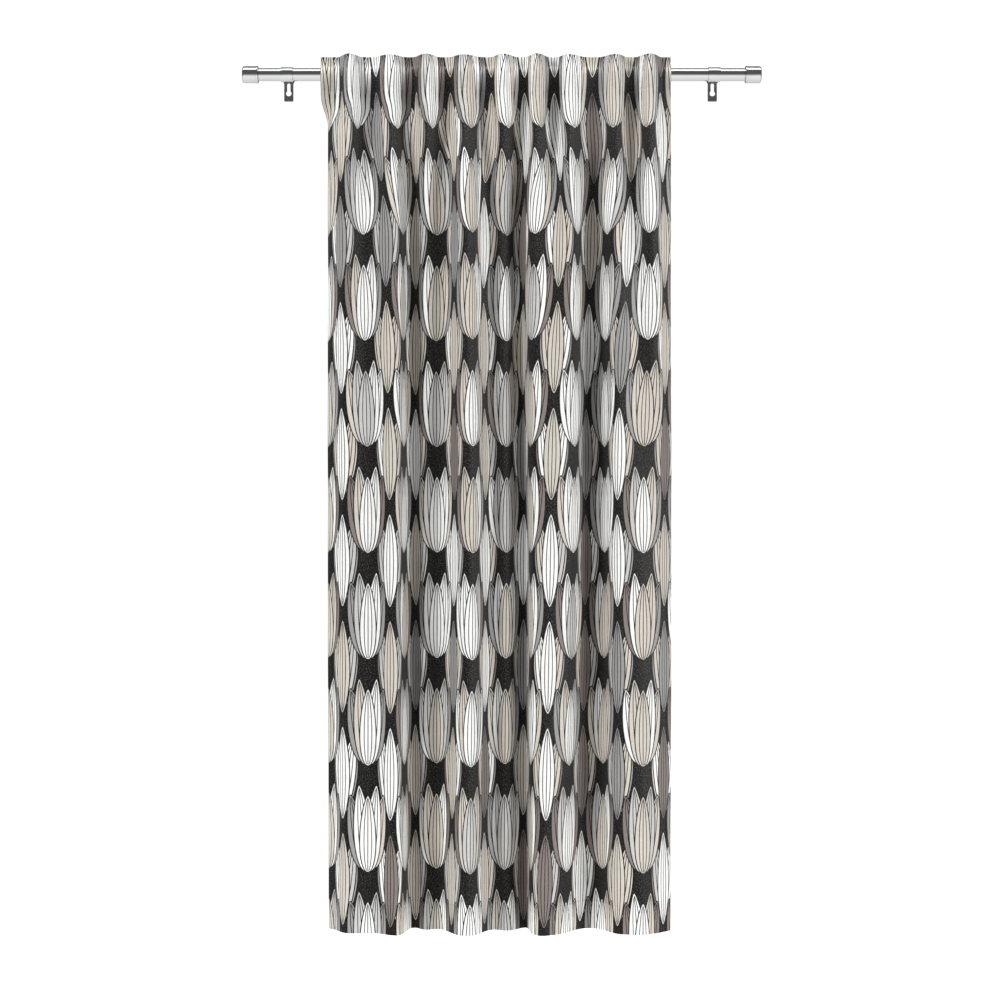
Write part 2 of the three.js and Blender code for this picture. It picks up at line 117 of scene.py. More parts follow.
# The heading leans back over the rod.
#    height above the rod's axis, over a tab, at a crest
HEADING_LEAN = [
    (47.0, 13.5, 15),
    (35.0, 15.9, 13),
    (26.5, 15.3, 11),
    (20.2, 12.7, 9),
    (16.0, 8.3, 7.5),
    (13.0, 5.0, 6.5),
    (7.3, 1.4, 4.5),
    (0, 0, 2.5),
    (-13, 1.5, 2.5),
    (-28, 6.0, 4),
    (-47, 13.0, 6.5),
    (-62, 15.5, 7.5),
    (-83, 15.0, 7),
    (-133, 8.5, 4),
    (-203, 0, 0),
]

# The left edge stands out to the side and forward over these heights.
FLARE_OUT, FLARE_FROM, FLARE_TO = -19, 2215, 2292
FLARE_FORWARD = CLOTH_BEFORE_ROD - LEFT_EDGE_CURL

# A tab's middle line: points are a distance behind the rod's axis and a height above it.
TAB_BACK_GAP = 0.35
TAB_UPPER_SEAM = (43, 35, 27)              # heights on the cloth's back
TAB_LOWER_SEAM = (-47, -57)
TAB_ARC = (112, 130, 148, 166, 185, 204)   # degrees round the rod: over its top, then down behind it
TAB_ARC_CLEARANCE = 0.6
TAB_REACHES_ARC = (2.2, 20.6)
TAB_LEAVES_ARC = ((9, -22), (-2.5, -38))
HEM_HALF = 1.2                 # half the heading's thickness where a tab lies on it
TAB_ROWS, TAB_COLUMNS = 56, 8
TAB_EDGE_BEYOND = 0.4          # how far past its edge a tab would thin to nothing


# ---------------------------------------------------------------- smooth lines

def smooth_line(places, values, at):
    """Values at the places of `at`, on a smooth line through the points that never overshoots them.
    `values` may hold several lines side by side."""
    places, at = np.asarray(places, float), np.atleast_1d(at)
    columns = np.asarray(values, float).reshape(len(places), -1)
    rise = np.diff(columns, axis=0) / np.diff(places)[:, None]
    product = rise[:-1] * rise[1:]
    total = rise[:-1] + rise[1:]
    inner = np.divide(2 * product, total, out=np.zeros_like(product), where=product > 0)
    slopes = np.concatenate([rise[:1], inner, rise[-1:]])
    i = np.clip(np.searchsorted(places, at) - 1, 0, len(places) - 2)
    step = (places[i + 1] - places[i])[:, None]
    f = np.clip((at - places[i])[:, None] / step, 0, 1)
    return (
        (2 * f**3 - 3 * f**2 + 1) * columns[i]
        + (f**3 - 2 * f**2 + f) * step * slopes[i]
        + (3 * f**2 - 2 * f**3) * columns[i + 1]
        + (f**3 - f**2) * step * slopes[i + 1]
    )


def ease(low, high, at):
    """0 at low and 1 at high, with a soft start and end."""
    t = np.clip((at - low) / (high - low), 0, 1)
    return t * t * (3 - 2 * t)


def solve(measure, aim, low, high):
    """The number at which a rising measure reaches its aim."""
    for _ in range(HALVINGS):
        middle = (low + high) / 2
        if measure(middle) < aim:
            low = middle
        else:
            high = middle
    return (low + high) / 2


# ---------------------------------------------------------------- the cloth's surface

FOLD_COUNT = len(FOLDS)
FOLD_PLACES = np.arange(FOLD_COUNT)
LINE_AT = np.linspace(0, FOLD_COUNT - 1, (FOLD_COUNT - 1) * LINE_STEPS + 1)


def section_line(xs, depths, heading):
    """The cloth's line through one set of fold places, seen from above: x and depth."""
    smooth = smooth_line(FOLD_PLACES, np.stack([xs, depths], axis=1), LINE_AT)
    fold = np.minimum(FOLD_COUNT - 2, np.floor(LINE_AT).astype(int))
    weight = np.minimum(1, np.abs(np.diff(depths))[fold] / FULL_ROUND_DEPTH)
    swell = ROUNDNESS * weight * np.sin(2 * math.pi * LINE_AT) / (2 * math.pi)
    x = smooth[:, 0] + swell * np.diff(xs)[fold]
    above = np.maximum(0, smooth[:, 1] - CLOTH_BEFORE_ROD)
    flat = (above / HEADING_CREST) ** HEADING_SHARPNESS * HEADING_CREST
    return x, smooth[:, 1] + heading * (flat - above)


def running_length(x, depth):
    """How far along a line each of its points is."""
    return np.concatenate([[0], np.cumsum(np.hypot(np.diff(x), np.diff(depth)))])


def heading_depths(xs):
    """Each crest of the heading stands out as far as the cloth between its two tabs needs."""
    depths = np.full(FOLD_COUNT, CLOTH_BEFORE_ROD, float)
    for crest in range(2, FOLD_COUNT - 2, 2):
        def length_with(depth):
            depths[crest] = depth
            sums = running_length(*section_line(xs, depths, 1))
            return sums[(crest + 1) * LINE_STEPS] - sums[(crest - 1) * LINE_STEPS]

        depths[crest] = solve(length_with, TAB_PITCH, CLOTH_BEFORE_ROD, DEEPEST_CREST)
    depths[0] = LEFT_EDGE_CURL
    return depths


table = np.array([row[1:] for row in FOLDS], float)
HEADING_XS, HEADING_DEPTHS = table[:, 0], heading_depths(table[:, 0])
LEVEL_XS = np.stack([table[:, 5], table[:, 3], table[:, 1], HEADING_XS, HEADING_XS])
LEVEL_DEPTHS = np.stack([table[:, 6], table[:, 4], table[:, 2], HEADING_DEPTHS, HEADING_DEPTHS])


def section_at(height, flat_places):
    """x and depth of the cloth's flat places at one height, its folds eased or deepened to hold the width."""
    heading = ease(HEADING_FROM, HEADING_TO, height)
    flare = ease(FLARE_FROM, FLARE_TO, height)
    xs = smooth_line(LEVELS, LEVEL_XS, height)[0]
    depths = smooth_line(LEVELS, LEVEL_DEPTHS, height)[0]
    xs[0] += flare * FLARE_OUT
    depths[0] += flare * FLARE_FORWARD

    def deepened(gain):
        return section_line(xs, CLOTH_BEFORE_ROD + gain * (depths - CLOTH_BEFORE_ROD), heading)

    gain = solve(lambda g: running_length(*deepened(g))[-1], CLOTH_WIDTH, LEAST_GAIN, MOST_GAIN)
    x, depth = deepened(gain)
    sums = running_length(x, depth)
    flat = sums * CLOTH_WIDTH / sums[-1]
    return np.interp(flat_places, flat, x), np.interp(flat_places, flat, depth)


LEAN_HEIGHTS = ROD_HEIGHT + np.array([row[0] for row in HEADING_LEAN])[::-1]
LEAN_AT_TAB = np.array([row[1] for row in HEADING_LEAN])[::-1]
LEAN_AT_CREST = np.array([row[2] for row in HEADING_LEAN])[::-1]


def cloth_surface(flat_places, heights):
    """The cloth's middle surface as points [height, flat place, xyz], about the rod's axis and the foot."""
    points = np.empty((len(heights), len(flat_places), 3))
    for row, height in enumerate(heights):
        x, depth = section_at(height, flat_places)
        crest = ease(CLOTH_BEFORE_ROD, CLOTH_BEFORE_ROD + CREST_LEAN_DEPTH, depth)
        at_tab = np.interp(height, LEAN_HEIGHTS, LEAN_AT_TAB)
        at_crest = np.interp(height, LEAN_HEIGHTS, LEAN_AT_CREST)
        points[row] = np.stack([x, at_tab + (at_crest - at_tab) * crest - depth, np.full_like(x, height)], -1)
    return points


def unit(vectors):
    return vectors / np.linalg.norm(vectors, axis=-1, keepdims=True)


def surface_normals(points):
    """Unit normals of a grid of points, towards the room."""
    along = np.gradient(points, axis=1)
    upward = np.gradient(points, axis=0)
    return unit(np.cross(along, upward))


def to_frame(points):
    """Millimetres about the rod's axis and the cloth's foot, as metres in the row frame."""
    return points * MM + np.array([0, ROD_Y, ROD_Z - ROD_HEIGHT * MM])


# ---------------------------------------------------------------- soft relief

# Soft troughs and ridges that the main folds don't have: where each is on the flat cloth, how far it
# reaches to each side and along, how much it leans, and how high it stands.
#    flat place, height, half width, half length, lean, rise
CREASES = [
    (110, 1980, 16, 190, -0.05, -2.2),
    (255, 1490, 18, 260, 0.03, 1.8),
    (330, 700, 20, 300, -0.04, 2.4),
    (470, 2010, 14, 150, 0.07, -2.6),
    (560, 1260, 18, 300, -0.03, 2.0),
    (640, 420, 20, 260, 0.05, -2.2),
    (735, 1700, 16, 240, 0.04, 2.2),
    (820, 930, 20, 280, -0.05, -2.4),
    (905, 2030, 14, 140, -0.08, 2.4),
    (990, 560, 18, 280, 0.04, 2.2),
    (1080, 1380, 16, 260, 0.05, -2.2),
    (1180, 1900, 15, 170, -0.06, 2.2),
    (1235, 760, 18, 300, 0.03, -2.0),
    (1330, 1180, 15, 260, -0.04, 1.8),
]
# Soft lines that fan out below each tab, wider and fainter the lower they are.
PULL_REACH, PULL_SPREAD, PULL_DEPTH = 150, 0.55, 1.6
PULL_START, PULL_WIDTH, PULL_WIDENING = 30, 7, 0.08
# Long even slackness all over: waves along the cloth, broken up by slower ones.
SLACK_DEPTH, SLACK_LENGTH, SLACK_ACROSS = 0.8, 420, 61
SLOW_SHARE, SLOW_ACROSS, SLOW_START = 0.37, 143, 1.1
SEAM_FREE = (HEADING_FOOT - 10, HEADING_FOOT - 60)       # the heading's seam lies flat


def relief(flat_places, heights):
    """How far the cloth stands proud of its main folds, in millimetres."""
    u, h = np.meshgrid(flat_places, heights)
    total = np.zeros_like(u)
    for place, height, half_width, half_length, lean, rise in CREASES:
        across = (u - place - lean * (h - height)) / half_width
        along = (h - height) / half_length
        total += rise * np.exp(-(across**2) - along**2)
    below = (ROD_HEIGHT + TAB_LOWER_SEAM[-1]) - h
    fading = np.where(below > 0, np.exp(-below / PULL_REACH), 0)
    for tab in range(TAB_COUNT):
        offset = u - (TAB_MARGIN + tab * TAB_PITCH)
        for side in (-1, 1):
            width = PULL_WIDTH + PULL_WIDENING * np.abs(below)
            across = (offset - side * (TAB_WIDTH / 2 + PULL_SPREAD * below)) / width
            total += PULL_DEPTH * ease(0, PULL_START, below) * fading * np.exp(-(across**2))
    phase = 2 * math.pi * h / SLACK_LENGTH
    slow = np.sin(SLOW_SHARE * phase - u / SLOW_ACROSS + SLOW_START)
    total += SLACK_DEPTH * np.sin(phase + u / SLACK_ACROSS) * slow
    return total * ease(*SEAM_FREE, h)


# ---------------------------------------------------------------- meshes

CLOTH_MAP = "Cloth"            # the UV map that holds each corner's place on the flat cloth, in metres


def new_mesh(name, points, faces, uvs, materials, face_material=None):
    """An object with smooth faces. `uvs` gives a (u, v) for every corner of every face."""
    mesh = bpy.data.meshes.new(name)
    mesh.from_pydata(points.tolist(), [], faces.tolist())
    mesh.polygons.foreach_set("use_smooth", np.ones(len(faces), bool))
    layer = mesh.uv_layers.new(name=CLOTH_MAP)
    layer.data.foreach_set("uv", np.asarray(uvs, np.float32).ravel())
    for material in materials:
        mesh.materials.append(material)
    if face_material is not None:
        mesh.polygons.foreach_set("material_index", face_material.astype(np.int32))
    mesh.update()
    piece = bpy.data.objects.new(name, mesh)
    bpy.context.scene.collection.objects.link(piece)
    return piece


def spaced(low, high, step):
    """Even places from low up to, and not with, high, at most a step apart."""
    return np.linspace(low, high, max(1, math.ceil((high - low) / step)) + 1)[:-1]


# The mesh's lines on the flat cloth: close ones just inside its outer edge, and on both sides of a hem's
# turned edge, and even ones between them.
EDGE_PLACES = (0, 0.5, 1.6, 4)
SEAM_PLACES = (-5, -3.0, -STITCH_INSET - 0.8, -STITCH_INSET, -0.9, -0.2, 0.5, 1.6, 4)
SIDE_HEM_FROM, SIDE_HEM_STEP, COLUMN_STEP = 8, 6, 6.6
FOOT_HEM_FROM, FOOT_HEM_TO, FOOT_HEM_STEP = 10, FOOT_HEM - 8, 12
LOWER_ABOVE_SEAM, LOWER_BELOW_SEAM, ROW_STEP = 6, 4, 16.5
UPPER_ABOVE_SEAM, UPPER_BELOW_TOP, HEADING_ROW_STEP = 3, 6, 4.2


def flat_columns():
    """How far each column of the mesh is from the cloth's left edge."""
    seam = SIDE_HEM + np.array(SEAM_PLACES)
    half = np.concatenate([EDGE_PLACES, spaced(SIDE_HEM_FROM, seam[0], SIDE_HEM_STEP), seam])
    inner = spaced(half[-1] + COLUMN_STEP, CLOTH_WIDTH - half[-1], COLUMN_STEP)
    return np.concatenate([half, inner, CLOTH_WIDTH - half[::-1]])


def cloth_heights():
    """How high each row of the mesh is above the cloth's foot."""
    seam = np.array(SEAM_PLACES)
    foot = np.concatenate([EDGE_PLACES, spaced(FOOT_HEM_FROM, FOOT_HEM_TO, FOOT_HEM_STEP), FOOT_HEM + seam])
    heading = HEADING_FOOT - seam[::-1]
    lower = spaced(foot[-1] + LOWER_ABOVE_SEAM, heading[0] - LOWER_BELOW_SEAM, ROW_STEP)
    upper = spaced(heading[-1] + UPPER_ABOVE_SEAM, CLOTH_DROP - UPPER_BELOW_TOP, HEADING_ROW_STEP)
    return np.concatenate([foot, lower, heading, upper, CLOTH_DROP - np.array(EDGE_PLACES)[::-1]])


def from_nearer_side(flat_places):
    return np.minimum(flat_places, CLOTH_WIDTH - flat_places)


def hem_share(flat_places, heights):
    """1 where the cloth is turned over on itself, 0 elsewhere, with a soft step between."""
    u, h = np.meshgrid(flat_places, heights)
    side = ease(SIDE_HEM + HEM_STEP_IN, SIDE_HEM - HEM_STEP_OUT, from_nearer_side(u))
    foot = ease(FOOT_HEM + HEM_STEP_IN, FOOT_HEM - HEM_STEP_OUT, h)
    heading = ease(HEADING_FOOT - HEM_STEP_IN, HEADING_FOOT + HEM_STEP_OUT, h)
    return np.maximum(np.maximum(side, foot), heading)


def stitch_dip(flat_places, heights):
    """How far the stitch lines draw the cloth in, from 0 to 1."""
    u, h = np.meshgrid(flat_places, heights)
    lines = [
        from_nearer_side(u) - (SIDE_HEM - STITCH_INSET),
        h - (FOOT_HEM - STITCH_INSET),
        h - (HEADING_FOOT + STITCH_INSET),
    ]
    return np.max([np.exp(-((line / STITCH_HALF_WIDTH) ** 2)) for line in lines], axis=0)


def build_panel(face_cloth, back_cloth):
    """The cloth as one closed mesh: a front skin, a back skin with the hems' layers on it, and a rim."""
    columns, rows = flat_columns(), cloth_heights()
    middle = cloth_surface(columns, rows)
    middle += surface_normals(middle) * relief(columns, rows)[..., None]
    normals = surface_normals(middle)
    hem, dip = hem_share(columns, rows), stitch_dip(columns, rows)
    front = CLOTH_HALF - STITCH_DIP * dip
    back = CLOTH_HALF + HEM_BACK * hem - STITCH_DIP * dip
    skins = np.concatenate([
        (middle + normals * front[..., None]).reshape(-1, 3),
        (middle - normals * back[..., None]).reshape(-1, 3),
    ])
    high, wide = len(rows), len(columns)
    count = high * wide
    index = np.arange(count).reshape(high, wide)
    a, b, c, d = index[:-1, :-1], index[:-1, 1:], index[1:, 1:], index[1:, :-1]
    front_faces = np.stack([a, b, c, d], -1).reshape(-1, 4)
    back_faces = np.stack([a, d, c, b], -1).reshape(-1, 4) + count
    ring = np.concatenate([index[0, :], index[1:, -1], index[-1, -2::-1], index[-2:0:-1, 0]])
    follow = np.roll(ring, -1)
    rim_faces = np.stack([ring, ring + count, follow + count, follow], -1)
    faces = np.concatenate([front_faces, back_faces, rim_faces])

    flat = np.stack(np.meshgrid(columns, rows), -1).reshape(-1, 2)
    flat = np.concatenate([flat, flat])
    corner_flat = flat[faces]
    centre = corner_flat.mean(axis=1)
    turned_over = (
        (from_nearer_side(centre[:, 0]) < SIDE_HEM)
        | (centre[:, 1] < FOOT_HEM)
        | (centre[:, 1] > HEADING_FOOT)
    )
    is_back = np.zeros(len(faces), bool)
    is_back[len(front_faces):len(front_faces) + len(back_faces)] = True
    hem_back = is_back & turned_over
    corner_flat[hem_back] = mirrored_hems(corner_flat, centre)[hem_back]
    return new_mesh(
        "curtain_cloth", to_frame(skins), faces, corner_flat * MM, (face_cloth, back_cloth),
        (is_back & ~turned_over).astype(int),
    )


def mirrored_hems(corner_flat, centre):
    """Flat places of the printed cloth that shows on the back where a hem is turned over."""
    folded = corner_flat.copy()
    left = centre[:, 0] < SIDE_HEM
    right = centre[:, 0] > CLOTH_WIDTH - SIDE_HEM
    foot = centre[:, 1] < FOOT_HEM
    top = centre[:, 1] > HEADING_FOOT
    folded[left, :, 0] *= -1
    folded[right, :, 0] = 2 * CLOTH_WIDTH - folded[right, :, 0]
    folded[foot, :, 1] *= -1
    folded[top, :, 1] = 2 * CLOTH_DROP - folded[top, :, 1]
    return folded


# ---------------------------------------------------------------- the hidden tabs

def tab_line():
    """The tab's middle line as a smooth run of points: distance behind the rod's axis, height above it."""
    def behind_cloth(height):
        lean = np.interp(ROD_HEIGHT + height, LEAN_HEIGHTS, LEAN_AT_TAB)
        return (lean - CLOTH_BEFORE_ROD + HEM_HALF + TAB_BACK_GAP + TAB_HALF, height)

    radius = ROD_RADIUS + TAB_ARC_CLEARANCE + TAB_HALF
    arc = [(-radius * math.cos(math.radians(a)), radius * math.sin(math.radians(a))) for a in TAB_ARC]
    points = np.array(
        [behind_cloth(h) for h in TAB_UPPER_SEAM]
        + [TAB_REACHES_ARC]
        + arc
        + list(TAB_LEAVES_ARC)
        + [behind_cloth(h) for h in TAB_LOWER_SEAM]
    )
    sums = running_length(points[:, 0], points[:, 1])
    return smooth_line(sums, points, np.linspace(0, sums[-1], TAB_ROWS))


def build_tab(number, centre_x, cloth):
    """A tab as a closed strip along its middle line, and its flat length."""
    line = tab_line()
    along = unit(np.gradient(line, axis=0))
    sideways = np.stack([-along[:, 1], along[:, 0]], axis=1)
    half = TAB_WIDTH / 2
    across = half * np.sin(np.linspace(-1, 1, TAB_COLUMNS + 1) * math.pi / 2)
    thin = TAB_HALF * np.sqrt(np.clip(1 - (across / (half + TAB_EDGE_BEYOND)) ** 8, 0.1, 1))
    grid = []
    for side in (1, -1):
        for x, thickness in zip(across, thin):
            behind, height = (line + side * thickness * sideways).T
            grid.append(np.column_stack([np.full(TAB_ROWS, centre_x + x), behind, height + ROD_HEIGHT]))
    points = np.concatenate(grid)
    wide = TAB_COLUMNS + 1
    index = np.arange(2 * wide * TAB_ROWS).reshape(2, wide, TAB_ROWS)
    loop = np.concatenate([index[0], index[1, ::-1]])
    loop = np.concatenate([loop, loop[:1]])
    tube = np.stack([loop[:-1, :-1], loop[:-1, 1:], loop[1:, 1:], loop[1:, :-1]], -1).reshape(-1, 4)
    ends = []
    for row, flip in ((0, False), (TAB_ROWS - 1, True)):
        quads = np.stack([index[0, :-1, row], index[0, 1:, row], index[1, 1:, row], index[1, :-1, row]], -1)
        ends.append(quads[:, ::-1] if flip else quads)
    faces = np.concatenate([tube, *ends])
    sums = running_length(line[:, 0], line[:, 1])
    flat_x = np.tile(np.repeat(across + half, TAB_ROWS), 2)
    flat_y = np.tile(sums, 2 * wide)
    flat = np.stack([flat_x, flat_y], axis=1)
    piece = new_mesh(f"tab_strip_{number:02d}", to_frame(points), faces, flat[faces] * MM, (cloth,))
    return piece, sums[-1]


# ---------------------------------------------------------------- numbers in a node tree

class Number:
    """A number in a shader tree. Arithmetic on it adds Math nodes."""

    def __init__(self, tree, socket):
        self.tree = tree
        self.socket = socket

    def math(self, operation, *others):
        node = self.tree.nodes.new("ShaderNodeMath")
        node.operation = operation
        for place, value in zip(node.inputs, (self, *others)):
            put(self.tree, place, value)
        return Number(self.tree, node.outputs[0])

    def __add__(self, other):
        return self.math("ADD", other)

    def __sub__(self, other):
        return self.math("SUBTRACT", other)

    def __rsub__(self, other):
        return (self * -1) + other

    def __mul__(self, other):
        return self.math("MULTIPLY", other)

    def __truediv__(self, other):
        return self.math("DIVIDE", other)

    def __abs__(self):
        return self.math("ABSOLUTE")

    def __pow__(self, other):
        return self.math("POWER", other)

    def floor(self):
        return self.math("FLOOR")

    def sine(self):
        return self.math("SINE")

    def above(self, other):
        return self.math("GREATER_THAN", other)

    def below(self, other):
        return self.math("LESS_THAN", other)

    def least(self, other):
        return self.math("MINIMUM", other)

    def most(self, other):
        return self.math("MAXIMUM", other)

    def wrapped(self, period):
        """The distance to the nearest multiple of the period, from minus half a period to plus half."""
        return self - (self / period + 0.5).floor() * period

    def clamped(self):
        return self.most(0).least(1)


def put(tree, place, value):
    """Links a node's output to a socket, or sets the socket to a number or colour."""
    if isinstance(value, Number):
        tree.links.new(value.socket, place)
    elif isinstance(value, bpy.types.NodeSocket):
        tree.links.new(value, place)
    else:
        place.default_value = value


def add_node(tree, kind, settings=None, **inputs):
    """A new node with its settings, and its inputs by name, with spaces written as underscores."""
    node = tree.nodes.new(kind)
    for name, value in (settings or {}).items():
        setattr(node, name, value)
    for name, value in inputs.items():
        put(tree, node.inputs[name.replace("_", " ")], value)
    return node


def linear(*srgb):
    """An 8-bit screen colour as the linear colour that shaders use."""
    def channel(c):
        c /= 255
        return c / 12.92 if c <= 0.04045 else ((c + 0.055) / 1.055) ** 2.4

    return (*[channel(c) for c in srgb], 1.0)


def mix_colour(tree, factor, first, second):
    node = add_node(tree, "ShaderNodeMix", {"data_type": "RGBA"})
    put(tree, node.inputs[0], factor)
    put(tree, node.inputs[6], first)
    put(tree, node.inputs[7], second)
    return node.outputs[2]


def new_material(name):
    material = bpy.data.materials.new(name)
    material.use_nodes = True
    tree = material.node_tree
    tree.nodes.clear()
    output = tree.nodes.new("ShaderNodeOutputMaterial")
    shader = tree.nodes.new("ShaderNodeBsdfPrincipled")
    tree.links.new(shader.outputs[0], output.inputs[0])
    return material, tree, shader


# ---------------------------------------------------------------- the print

# Tulip buds and tufts of leaves in a half drop: each stands in the gap between four of the other. Sizes
# in millimetres of flat cloth.
COLUMN_PITCH = 144
ROW_PITCH = 290
OUTLINE = 3.0
LAYER_STEP, SEED = 1.7, 7.3    # where each layer's even random numbers are taken

WHITE = linear(240, 240, 238)
BEIGE = linear(206, 199, 188)
LIGHT_GREY = linear(196, 195, 193)
MID_GREY = linear(151, 150, 149)
TAUPE = linear(128, 118, 114)
GROUND = linear(11, 9, 8)

# Petals from the back of a motif to the front: where each grows from, how far it leans out, its length,
# its half width, the roundness of its foot and the slimness of its tip, and its tones with their shares.
#    base x, base y, lean, length, half width, foot, tip, tones
BUD = [
    (14, -112, 9.5, 200, 24, 0.5, 0.8, [(3, MID_GREY), (3, TAUPE), (2, BEIGE), (1, WHITE)]),
    (6, -119, 4.5, 232, 23, 0.5, 0.8, [(4, WHITE), (3, LIGHT_GREY), (2, BEIGE)]),
    (0, -122, 0, 206, 21, 0.5, 0.75, [(4, WHITE), (4, BEIGE), (1, LIGHT_GREY)]),
]
TUFT = [
    (3, -118, 12, 172, 17, 0.7, 0.7, [(3, MID_GREY), (2, TAUPE), (1, BEIGE)]),
    (2, -121, 7.5, 222, 19, 0.75, 0.75, [(3, BEIGE), (2, WHITE), (2, LIGHT_GREY)]),
    (0, -123, 0, 250, 21, 0.7, 0.8, [(4, BEIGE), (3, WHITE), (2, MID_GREY), (2, TAUPE)]),
]
RIB_HALF = 1.1                 # half the width of the fine lines on petals and leaves
RIB_SPACING = 0.5              # how far apart they stand, as a share of a petal's half width
# The motifs from the back to the front: the shift of each as a share of both pitches, its petals, and the
# number of its first layer.
MOTIFS = [(0.5, TUFT, 4), (0, BUD, 1)]


def cell_tone(tree, across, up, layer, shares):
    """A colour for each cell of the print: flat bands of tones, dealt out by an even random number."""
    place = add_node(tree, "ShaderNodeCombineXYZ", X=across, Y=up, Z=layer * LAYER_STEP + SEED)
    dealt = add_node(tree, "ShaderNodeTexWhiteNoise", {"noise_dimensions": "3D"}, Vector=place.outputs[0])
    ramp = add_node(tree, "ShaderNodeValToRGB", Fac=dealt.outputs["Value"])
    bands = ramp.color_ramp
    bands.interpolation = "CONSTANT"
    total, start = sum(share for share, _ in shares), 0
    for i, (share, colour) in enumerate(shares):
        element = bands.elements[i] if i < 2 else bands.elements.new(start / total)
        element.position = start / total
        element.color = colour
        start += share
    return ramp.outputs[0]


def petal(x, y, base_x, base_y, lean, length, half_width, foot, tip):
    """How far inside a petal a place is, its distance from the petal's middle line and its half width."""
    lean = math.radians(lean)
    from_x, from_y = x - base_x, y - base_y
    along = from_y * math.cos(lean) + from_x * math.sin(lean)
    across = abs(from_x * math.cos(lean) - from_y * math.sin(lean))
    widest = foot / (foot + tip)
    scale = half_width / (widest**foot * (1 - widest) ** tip)
    share = (along / length).clamped()
    half = (share**foot) * ((1 - share) ** tip) * scale
    inside = (half - across).least(along).least(length - along)
    return inside, across, half


def motif(tree, under, x, y, cell, petals, first_layer):
    """Lays mirrored pairs of petals, each with a dark outline and fine lines, over what is under them."""
    laid = under
    side = abs(x)
    for layer, (base_x, base_y, lean, length, half_width, foot, tip, tones) in enumerate(petals):
        inside, across, half = petal(side, y, base_x, base_y, lean, length, half_width, foot, tip)
        mirrored = x.above(0) if lean else 0
        tone = cell_tone(tree, cell[0] * 2 + mirrored, cell[1], first_layer + layer, tones)
        rib = abs((across / half).wrapped(RIB_SPACING)) * half
        lines = rib.below(RIB_HALF) * inside.above(RIB_HALF * 2)
        laid = mix_colour(tree, (inside + OUTLINE).above(0), laid, GROUND)
        laid = mix_colour(tree, inside.above(0), laid, tone)
        laid = mix_colour(tree, lines, laid, GROUND)
    return laid


def printed_colour(tree, u, v):
    """The print as a colour, from flat places in millimetres."""
    laid = add_node(tree, "ShaderNodeRGB").outputs[0]
    laid.default_value = GROUND
    for shift, petals, first_layer in MOTIFS:
        from_u = u - COLUMN_PITCH * shift
        from_v = v - ROW_PITCH * shift
        cell = (from_u / COLUMN_PITCH + 0.5).floor(), (from_v / ROW_PITCH + 0.5).floor()
        x, y = from_u.wrapped(COLUMN_PITCH), from_v.wrapped(ROW_PITCH)
        laid = motif(tree, laid, x, y, cell, petals, first_layer)
    return laid


# ---------------------------------------------------------------- materials

THREAD = 0.75                  # millimetres from one thread to the next
THREAD_RELIEF, SLUB_RELIEF = 0.25, 0.9     # how much of the bump is threads, and how much slubs
WARP_SLUBS, WEFT_SLUBS = (0.9, 0.06), (0.05, 0.9)      # their noise per millimetre, across and up
GLINT_SCALE = 0.32             # painted glints, pale specks added to the colour in place of glints off the threads: their noise per millimetre, how few there are, and how pale
GLINT_LEVEL, GLINT_SHOW = 0.54, 0.31       # how few there are, and how pale
FADE_SCALE, FADE_TONE = (0.012, 0.008), 0.10           # soft patches where the print is a little paler
FACE_UNEVEN, BACK_UNEVEN, TAB_UNEVEN = 0.32, 0.25, 0.5     # how far slubs lighten and darken each cloth
BARE_THREAD, BARE_SHARE = linear(206, 201, 194), 0.42      # the back's own colour over the print's
TAB_CLOTH = linear(46, 44, 45)
STEEL, ZINC = linear(203, 204, 205), linear(114, 114, 116)
STEEL_LINES, STEEL_SMUDGES = (30, 700), (7, 25)        # noise per metre, along the rod and across it
ZINC_GRAIN, ZINC_CLOUDS = (700, 700), (60, 60)


def cloth_places(tree):
    """Flat places on the cloth, in millimetres across and up."""
    uv = add_node(tree, "ShaderNodeUVMap", {"uv_map": CLOTH_MAP})
    parts = add_node(tree, "ShaderNodeSeparateXYZ", Vector=uv.outputs[0])
    return Number(tree, parts.outputs[0]) * 1000, Number(tree, parts.outputs[1]) * 1000


def object_places(tree):
    place = add_node(tree, "ShaderNodeTexCoord")
    parts = add_node(tree, "ShaderNodeSeparateXYZ", Vector=place.outputs["Object"])
    return (Number(tree, parts.outputs[i]) for i in range(3))


def noise(tree, x, y, scale_x, scale_y, detail=2.0):
    """Soft random numbers about 0.5, from two places times their scales."""
    place = add_node(tree, "ShaderNodeCombineXYZ", X=x * scale_x, Y=y * scale_y)
    node = add_node(
        tree, "ShaderNodeTexNoise", {"noise_dimensions": "2D"},
        Vector=place.outputs[0], Scale=1.0, Detail=detail, Roughness=0.6,
    )
    return Number(tree, node.outputs[0])


def weave(tree, u, v):
    """A plain weave's height, from 0 to 1: threads over and under, some thicker than others."""
    turn = 2 * math.pi / THREAD
    warp = (u * (turn / 2)).sine()
    weft = (v * (turn / 2)).sine()
    slubs = noise(tree, u, v, *WARP_SLUBS) + noise(tree, u, v, *WEFT_SLUBS) - 1
    return warp * weft * THREAD_RELIEF + 0.5 + slubs * SLUB_RELIEF, slubs


def scaled_colour(tree, colour, factor):
    """A colour times a number."""
    node = add_node(tree, "ShaderNodeVectorMath", {"operation": "SCALE"})
    put(tree, node.inputs[0], colour[:3] if isinstance(colour, tuple) else colour)
    put(tree, node.inputs["Scale"], factor)
    return node.outputs[0]


def add_grey(tree, colour, grey):
    """A colour with a number added to each of its parts."""
    node = add_node(tree, "ShaderNodeVectorMath", {"operation": "ADD"})
    put(tree, node.inputs[0], colour)
    put(tree, node.inputs[1], grey.socket)
    return node.outputs[0]


